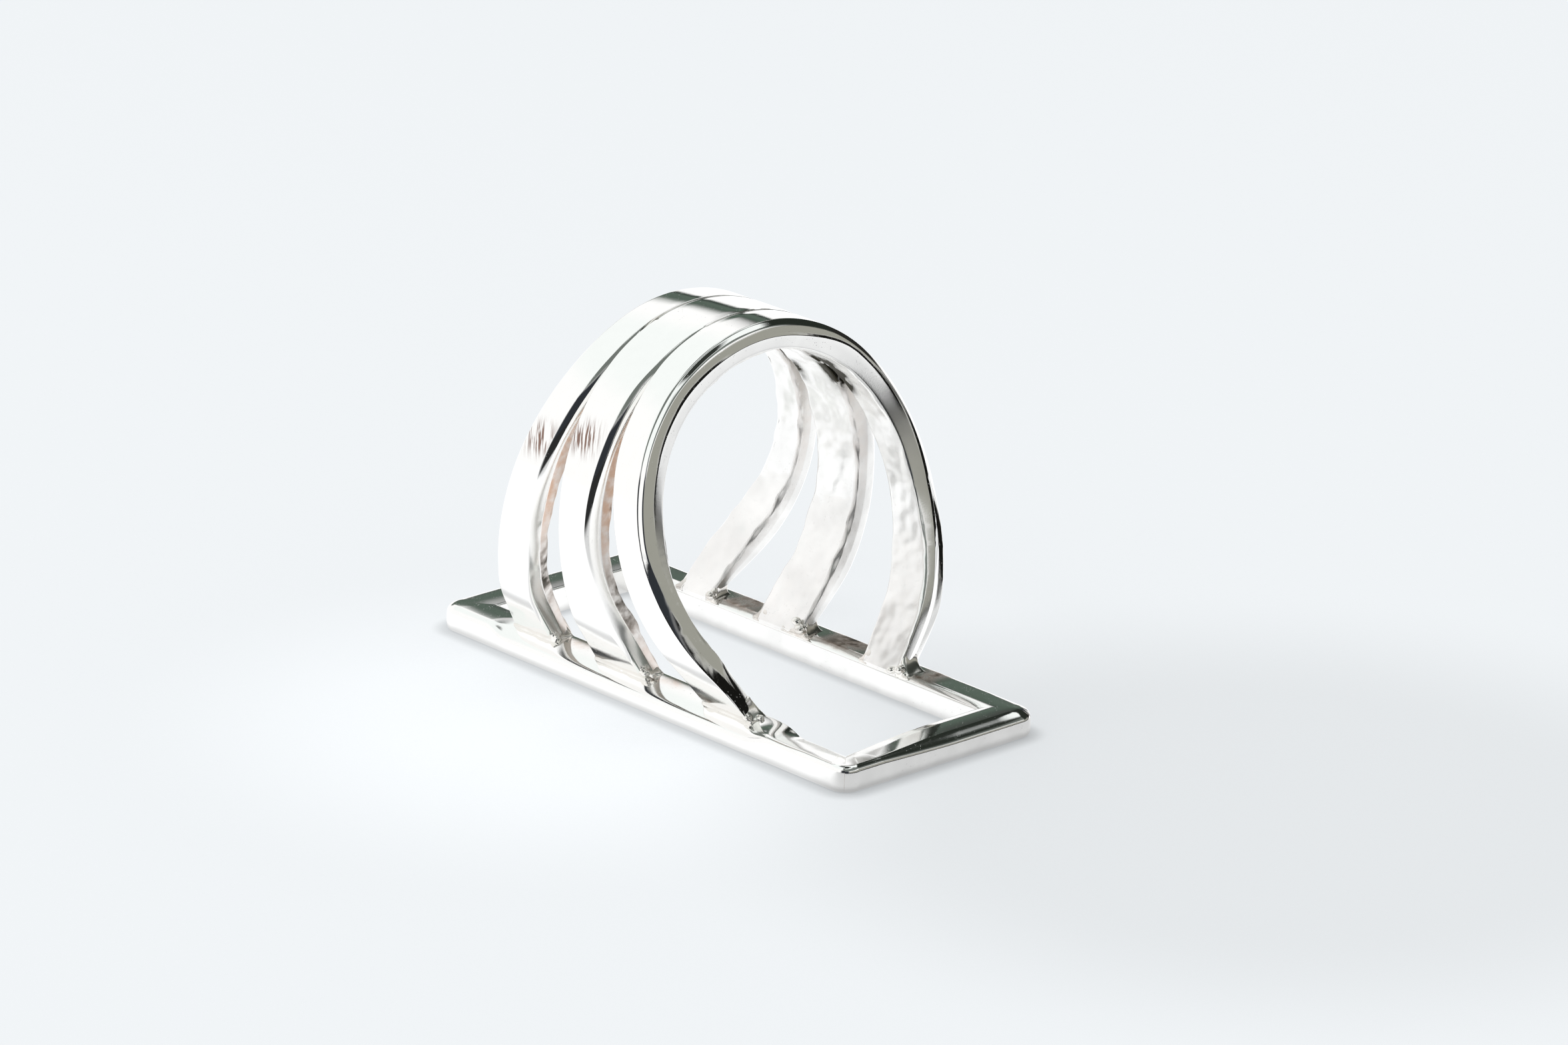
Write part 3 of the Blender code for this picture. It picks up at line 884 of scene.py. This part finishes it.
def silver_material(name, base, roughness):
    """Polished silver with satin, stained, sooty and brushed places, painted shade in broad patches on
    the satin places, and painted black shade in the slit openings.
    """
    material, nodes = new_material(name)
    place = nodes.make("ShaderNodeTexCoord").outputs["Object"]
    place = nodes.vector_math("MULTIPLY", place, (1.0 / MM,) * 3)
    satin, stain, soot_and_shade = nodes.parts(nodes.attribute("wear_and_shade"))

    skewed = nodes.make("ShaderNodeVectorRotate", {
        "Vector": nodes.attribute("strip"), "Angle": STREAK_SKEW}, rotation_type="Z_AXIS").outputs[0]
    streaks = nodes.noise(nodes.vector_math("MULTIPLY", skewed, STREAK_STRETCH), 1.0, 3.0)
    mottle = nodes.noise(place, 1.6, 4.0)
    grain = nodes.noise(place, 14.0, 3.0)
    fine = nodes.noise(place, 60.0, 2.0)

    # The masks decide where the marks are, and the patterns how much there is of them.
    stained = nodes.patchy(stain, mottle, 2.2, -0.35)
    # The soot mask also carries the painted black shade of the slit openings.
    sooty_and_shaded = nodes.patchy(soot_and_shade, mottle, 3.0, -0.9)
    marks = nodes.patchy(nodes.attribute("brushed", "Fac"), streaks, 9.0, -4.2)
    # Painted shade: broad darker patches on the satin places.
    painted_shade = nodes.patchy(satin, nodes.noise(place, 0.55, 2.0), 2.4, -0.75)
    pits = silver_pits(nodes, place, satin)

    colour = nodes.mix(mottle, tuple(c * MOTTLED_TONE for c in base), base)
    for mask, over in ((painted_shade, tuple(c * PAINTED_SHADE_TONE for c in base)), (stained, STAIN_COLOUR),
                       (marks, BRUSHED_COLOUR), (sooty_and_shaded, SOOT_AND_SHADE_COLOUR),
                       (nodes.math("MULTIPLY", pits, 0.8), PIT_COLOUR)):
        colour = nodes.mix(mask, colour, over)

    rough = nodes.math("MULTIPLY_ADD", satin, 0.30, roughness)
    rough = nodes.math("MULTIPLY_ADD", nodes.math("MULTIPLY", grain, satin), 0.12, rough)
    rough = nodes.math("MULTIPLY_ADD", marks, 0.25, rough)
    rough = nodes.math("MULTIPLY_ADD", sooty_and_shaded, 0.3, rough, clamp=True)

    # Bump: the grain of the satin places, pits, and fine scratches along the strip.
    height = nodes.math("MULTIPLY", grain, nodes.math("MULTIPLY", satin, 0.5))
    height = nodes.math("SUBTRACT", height, nodes.math("MULTIPLY", pits, 1.2))
    height = nodes.math("MULTIPLY_ADD", fine, 0.03, height)
    height = nodes.math("MULTIPLY_ADD", streaks, 0.05, height)
    bump = nodes.make("ShaderNodeBump", {"Height": height, "Strength": 1.0, "Distance": METAL_BUMP})

    shader = nodes.make("ShaderNodeBsdfPrincipled", {
        "Base Color": colour, "Roughness": rough, "Metallic": 1.0, "Normal": bump.outputs[0]})
    nodes.make("ShaderNodeOutputMaterial", {"Surface": shader.outputs[0]})
    material.diffuse_color = (*base, 1.0)
    return material


def contact_shade(nodes, place):
    """A narrow line of shade on the paper, inside and outside the frame's outline."""
    corner = [(side * 0.5 - CORNER_RADIUS) * MM for side in (frame_length, frame_width)]
    beyond = nodes.vector_math("SUBTRACT", nodes.vector_math("ABSOLUTE", place), (*corner, 0.0))
    within = nodes.math("MAXIMUM", *nodes.parts(beyond)[:2])
    window_gap = nodes.math("SUBTRACT", (CORNER_RADIUS - bar_width) * MM, within)
    outside = nodes.vector_math("LENGTH", nodes.vector_math("MAXIMUM", beyond))
    outer_gap = nodes.math("SUBTRACT", outside, CORNER_RADIUS * MM)
    gap = nodes.math("MAXIMUM", outer_gap, window_gap)
    return nodes.ramp(gap, 0.0, CONTACT_WIDTH, CONTACT_SHADE, 1.0)


def painted_paper_glow(nodes, place):
    """The strength of the painted glow that the camera sees on the paper, with broad soft pools of
    painted light and shadow.
    """
    strength = 1.0
    for centre, core, reach, amount in PAINTED_LIGHT_ON_PAPER:
        away = nodes.vector_math("DISTANCE", place, centre)
        strength = nodes.math("ADD", strength, nodes.ramp(away, core, reach, amount, 0.0))
    return strength


def mirrored_paper(nodes, place):
    """How bright the paper is where the metal mirrors it."""
    x, y = nodes.parts(place)[:2]
    ramps = []
    for start, end, low, high in (MIRRORED_DIMMING, MIRRORED_REGAIN):
        front = frame_high[0] * MM
        ramps.append(nodes.ramp(x, front + start, front + end, low, high))
    dark = nodes.ramp(nodes.vector_math("LENGTH", place), *DARK_FROM)
    bearing = nodes.math("ARCTAN2", y, x)
    for limits in (DARK_RIGHT, DARK_LEFT):
        dark = nodes.math("MULTIPLY", dark, nodes.ramp(bearing, *limits))
    return nodes.math("MULTIPLY", nodes.math("ADD", *ramps), nodes.math("SUBTRACT", 1.0, dark))


def floor_material():
    """Pale, faintly bluish paper with a fine grain, under a painted glow for the camera and a painted
    brightness where the metal mirrors it.
    """
    material, nodes = new_material("pale_paper")
    place = nodes.make("ShaderNodeTexCoord").outputs["Object"]
    grain = nodes.noise(place, PAPER_GRAIN, 2.0)
    bump = nodes.make("ShaderNodeBump", {"Height": grain, "Strength": 0.25, "Distance": PAPER_BUMP})
    shader = nodes.make("ShaderNodeBsdfPrincipled", {
        "Base Color": PAPER_COLOUR, "Roughness": 0.9, "Normal": bump.outputs[0]})
    contact = contact_shade(nodes, place)
    rays = nodes.make("ShaderNodeLightPath").outputs
    # A painted glow, seen only by the camera, softens the shadows on the paper; a second one sets how
    # bright the paper is where the metal mirrors it.
    for ray, share, colour, strength in (
            ("Is Camera Ray", GLOW_SHARE, GLOW_COLOUR, painted_paper_glow(nodes, place)),
            ("Is Glossy Ray", MIRRORED_SHARE, MIRRORED_COLOUR, mirrored_paper(nodes, place))):
        strength = nodes.math("MULTIPLY", strength, contact)
        glow = nodes.make("ShaderNodeEmission", {"Color": colour, "Strength": strength})
        shader = nodes.make("ShaderNodeMixShader", {
            0: nodes.math("MULTIPLY", rays[ray], share), 1: shader.outputs[0], 2: glow.outputs[0]})
    nodes.make("ShaderNodeOutputMaterial", {"Surface": shader.outputs[0]})
    return material


# ---- solder

def melted(parts):
    """Closed parts, in millimetres, melted into one smooth body: vertices and faces."""
    vertices, faces = [], []
    for part_vertices, part_faces in parts:
        start = len(vertices)
        vertices += part_vertices
        faces += [tuple(start + i for i in face) for face in part_faces]
    mesh = bpy.data.meshes.new("work")
    mesh.from_pydata(vertices, [], faces)
    turn_faces_out(mesh)
    work = bpy.data.objects.new("work", mesh)
    bpy.context.scene.collection.objects.link(work)
    melt = work.modifiers.new("melt", "REMESH")
    melt.mode = "VOXEL"
    melt.voxel_size = SOLDER_VOXEL
    flow = work.modifiers.new("flow", "SMOOTH")
    flow.factor = 0.5
    flow.iterations = SOLDER_SMOOTHING
    evaluated = work.evaluated_get(bpy.context.evaluated_depsgraph_get())
    made = bpy.data.meshes.new_from_object(evaluated)
    points = [tuple(v.co) for v in made.vertices]
    loops = [tuple(p.vertices) for p in made.polygons]
    bpy.data.objects.remove(work)
    bpy.data.meshes.remove(mesh)
    bpy.data.meshes.remove(made)
    return points, loops


def bead(centre, radius):
    """A slightly flattened ball of solder."""
    x, y, z = centre
    vertices = [(x, y, z + radius * BEAD_FLATNESS)]
    for i in range(1, BEAD_ROWS):
        lift = math.pi * i / BEAD_ROWS
        for j in range(BEAD_COLUMNS):
            turn = 2.0 * math.pi * j / BEAD_COLUMNS
            vertices.append((x + radius * math.sin(lift) * math.cos(turn),
                             y + radius * math.sin(lift) * math.sin(turn),
                             z + radius * BEAD_FLATNESS * math.cos(lift)))
    vertices.append((x, y, z - radius * BEAD_FLATNESS))
    faces = []
    last = len(vertices) - 1
    for j in range(BEAD_COLUMNS):
        k = (j + 1) % BEAD_COLUMNS
        faces.append((0, 1 + j, 1 + k))
        faces.append((last, last - BEAD_COLUMNS + k, last - BEAD_COLUMNS + j))
        for row in range(1, last - BEAD_COLUMNS, BEAD_COLUMNS):
            below = row + BEAD_COLUMNS
            faces.append((row + j, below + j, below + k, row + k))
    return vertices, faces


def grown_section(hoop, angle, reach):
    """A rounded block round the hoop's section, as points in space."""
    front, back = hoop_edges(hoop, angle)
    (iy, iz), (oy, oz), thickness = hoop_faces(hoop, angle)
    points = []
    lean = 0.0 if hoop == "front_hoop" else FILLET_LEAN
    corner = FILLET_CORNER
    low, high = -reach["inner"] + corner, thickness + reach["outer"] - corner
    ahead, behind = front + reach["front"] - corner, back - reach["back"] + corner
    for cx, ch, start in ((ahead, high, 0), (behind, high, 90), (behind, low, 180), (ahead, low, 270)):
        for turned in evenly(start, start + 90, FILLET_CORNER_STEPS):
            turn = math.radians(turned)
            x, h = cx + corner * math.cos(turn), ch + corner * math.sin(turn)
            share = h / thickness
            points.append((x + lean * (1.0 - share), iy + (oy - iy) * share, iz + (oz - iz) * share))
    return points


def foot_solder(hoop, side, beads):
    """The concave fillet of solder round one foot, with its beads."""
    rings = []
    top = STATIONS[-1]
    sign = -1 if side == "near" else 1
    widest = FILLET_REACH[side]
    for i, angle in enumerate(evenly(top + 0.6, FILLET_TOP, FILLET_STEPS)):
        flare = (1.0 - i / FILLET_STEPS) ** FILLET_CURVE
        reach = {key: -FILLET_LIP + (widest[key] + FILLET_LIP) * flare for key in widest}
        rings.append(grown_section(hoop, sign * min(angle, top), reach))
    rings.insert(0, [(x, y, z - 0.5) for x, y, z in rings[0]])
    parts = [loft(rings)]
    for x, y, z, radius in beads:
        parts.append(bead((x, sign * y, z), radius))
    return melted(parts)


def solder_wear(point):
    """Solder is satin, and stained inside the ring, where it runs out thin."""
    patch = 0.5 + 0.5 * wavy(point, 0.9, 9.0)
    low = 1.0 - smooth_step(point[2], 1.6, 2.3)
    inside = 1.0 - smooth_step(-point[1], 5.6, 6.1)
    inside *= 1.0 - smooth_step(point[0], 5.5, 6.5)
    return 0.2 + 0.3 * patch, 0.35 * patch * low * inside, 0.5 * low * (1.0 - patch) * inside


def add_solder(name, made, material, node, ripple=SOLDER_RIPPLE):
    """A melted piece with its own small ripples."""
    vertices, faces = made
    piece = add_piece(name, vertices, faces, material, node, sharp=180.0)
    push_out(piece.data, [ripple * wavy(v, RIPPLE_LENGTH, 8.0) for v in vertices])
    wear_and_shade = [solder_wear(v) for v in vertices]
    add_surface_data(piece.data, vertices, wear_and_shade, [0.0] * len(vertices))


def seam_solder(front_hoop, back_hoop, seam_bead):
    """The ribbon of solder in one crown seam, with a bead where the slit opens."""
    rings = []
    for angle in evenly(-SEAM_END, SEAM_END, SEAM_STEPS):
        front = hoop_edges(front_hoop, angle)[1] + SEAM_OVERLAP
        back = hoop_edges(back_hoop, angle)[0] - SEAM_OVERLAP
        depth = smooth_step(abs(angle), JOINED_TO * 0.5, SEAM_END)
        high = HOOP_RADIUS - SEAM_TOP_DEPTH - SEAM_DEEPEST * depth
        high -= crown_sag(angle, (front + back) * 0.5)
        low = FINGER_RADIUS + SEAM_INNER_INSET
        corners = ((front, high), (back, high), (back, low), (front, low))
        rings.append([(x, *polar_point(radius, angle)) for x, radius in corners])
    angle, x, radius, size = seam_bead
    return melted([loft(rings), bead((x, *polar_point(radius, angle)), size)])


# ---- stage

def make_camera():
    """The camera at the angle the object was seen from."""
    azimuth, elevation = math.radians(CAMERA_AZIMUTH), math.radians(CAMERA_ELEVATION)
    roll = math.radians(CAMERA_ROLL)
    back = Vector((math.sin(azimuth) * math.cos(elevation),
                   -math.cos(azimuth) * math.cos(elevation), math.sin(elevation)))
    right = (-back).cross(Vector((0.0, 0.0, 1.0))).normalized()
    up = right.cross(-back)
    rolled_right = right * math.cos(roll) + up * math.sin(roll)
    rolled_up = up * math.cos(roll) - right * math.sin(roll)
    data = bpy.data.cameras.new("camera")
    data.lens = CAMERA_LENS
    data.clip_start, data.clip_end = 0.01, 20.0
    camera = bpy.data.objects.new("camera", data)
    turn = Matrix((rolled_right, rolled_up, back)).transposed().to_4x4()
    place = (Vector(CAMERA_TARGET) + back * CAMERA_DISTANCE) * MM
    camera.matrix_world = Matrix.Translation(place) @ turn
    bpy.context.scene.collection.objects.link(camera)
    bpy.context.scene.camera = camera


def make_floor():
    """A wide pale floor at the frame's underside."""
    mesh = bpy.data.meshes.new("floor")
    corners = [(x * PAPER_SIZE, y * PAPER_SIZE, 0) for x, y in ((-1, -1), (1, -1), (1, 1), (-1, 1))]
    mesh.from_pydata(corners, [], [(0, 1, 2, 3)])
    mesh.materials.append(floor_material())
    floor = bpy.data.objects.new("floor", mesh)
    bpy.context.scene.collection.objects.link(floor)


def between(nodes, value, low, high, soft):
    """1 where a value lies between two limits, with soft ends."""
    rise = nodes.ramp(value, low - soft, low + soft)
    fall = nodes.ramp(value, high - soft, high + soft, 1.0, 0.0)
    return nodes.math("MULTIPLY", rise, fall)


def make_world():
    """A white studio dome, with dark patches that only the metal mirrors."""
    world = bpy.data.worlds.new("studio")
    bpy.context.scene.world = world
    world.use_nodes = True
    nodes = Nodes(world.node_tree)
    direction = nodes.make("ShaderNodeTexCoord").outputs["Generated"]
    x, y, z = nodes.parts(direction)
    bearing = nodes.math("MULTIPLY", nodes.math("ARCTAN2", y, x), math.degrees(1.0))
    lift = nodes.math("MULTIPLY", nodes.math("ARCSINE", z), math.degrees(1.0))
    ripple = nodes.noise(direction, 6.0, 3.0)
    ripple = nodes.math("MULTIPLY_ADD", ripple, DOME_RIPPLE, -DOME_RIPPLE * 0.5)
    lift = nodes.math("ADD", lift, ripple)
    high_up = between(nodes, lift, DOME_HIGH_FROM, DOME_TOP, DOME_SOFTNESS)
    sky = nodes.mix(high_up, DOME_LOW, DOME_HIGH)
    for start, end, low, high, soft, colour in DARK_PATCHES:
        patch = nodes.math("MULTIPLY", between(nodes, bearing, start, end, DOME_SOFTNESS),
                           between(nodes, lift, low, high, soft))
        sky = nodes.mix(patch, sky, colour)
    rays = nodes.make("ShaderNodeLightPath").outputs
    colour = nodes.mix(rays["Is Glossy Ray"], DOME_LIGHTING, sky)
    colour = nodes.mix(rays["Is Camera Ray"], colour, DOME_SEEN)
    background = nodes.make("ShaderNodeBackground", {"Color": colour, "Strength": 1.0})
    nodes.make("ShaderNodeOutputWorld", {"Surface": background.outputs[0]})


def make_lights():
    """One large soft light, high on the left."""
    data = bpy.data.lights.new("softbox", "AREA")
    data.shape = "DISK"
    data.size = SOFTBOX_SIZE
    data.energy = SOFTBOX_ENERGY
    light = bpy.data.objects.new("softbox", data)
    light.location = SOFTBOX_PLACE
    light.rotation_euler = (-light.location).to_track_quat("-Z", "Y").to_euler()
    light.visible_glossy = False
    bpy.context.scene.collection.objects.link(light)


# ---- assembly

def low_and_high(nodes):
    """The box of several CAD nodes, in millimetres."""
    boxes = [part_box(node) for node in nodes]
    low = [min(b[0][i] for b in boxes) / MM for i in range(3)]
    high = [max(b[1][i] for b in boxes) / MM for i in range(3)]
    return low, high


frame_low, frame_high = low_and_high([f"frame_bar_{s}" for s in ("near", "far", "front", "rear")])
near_low, near_high = low_and_high(["frame_bar_near"])
bar_height = frame_high[2]
bar_width = near_high[1] - near_low[1]
frame_length = frame_high[0] - frame_low[0]
frame_width = frame_high[1] - frame_low[1]

silver = silver_material("polished_silver", *POLISHED)
solder = silver_material("silver_solder", *MELTED)

for hoop in HOOPS:
    add_lofted(hoop + "_polished", hoop_piece(hoop), silver, hoop)

window_x = frame_length * 0.5 - bar_width
window_y = frame_width * 0.5 - bar_width
for side, length, centre, turn in (
        ("near", frame_length, (0.0, -window_y), 180.0),
        ("far", frame_length, (0.0, window_y), 0.0),
        ("front", frame_width, (window_x, 0.0), -90.0),
        ("rear", frame_width, (-window_x, 0.0), 90.0)):
    node = f"frame_bar_{side}"
    add_lofted(node + "_polished", bar_piece(side, length, centre, turn), silver, node)

for (place, side), beads in FOOT_BEADS.items():
    node = f"foot_solder_{place}_{side}"
    add_solder(node + "_melted", foot_solder(place + "_hoop", side, beads), solder, node)

for seam, hoops in (("front", ("front_hoop", "middle_hoop")), ("rear", ("middle_hoop", "rear_hoop"))):
    node = f"crown_solder_{seam}"
    add_solder(node + "_melted", seam_solder(*hoops, SEAM_BEADS[seam]), solder, node, SEAM_RIPPLE)

for end, sign_x in (("front", 1), ("rear", -1)):
    for side, sign_y in (("near", -1), ("far", 1)):
        node = f"mitre_solder_{end}_{side}"
        add_lofted(node + "_melted", mitre_piece(sign_x, sign_y), solder, node)

make_camera()
make_floor()
make_world()
make_lights()
bpy.context.scene.view_settings.view_transform = "Standard"
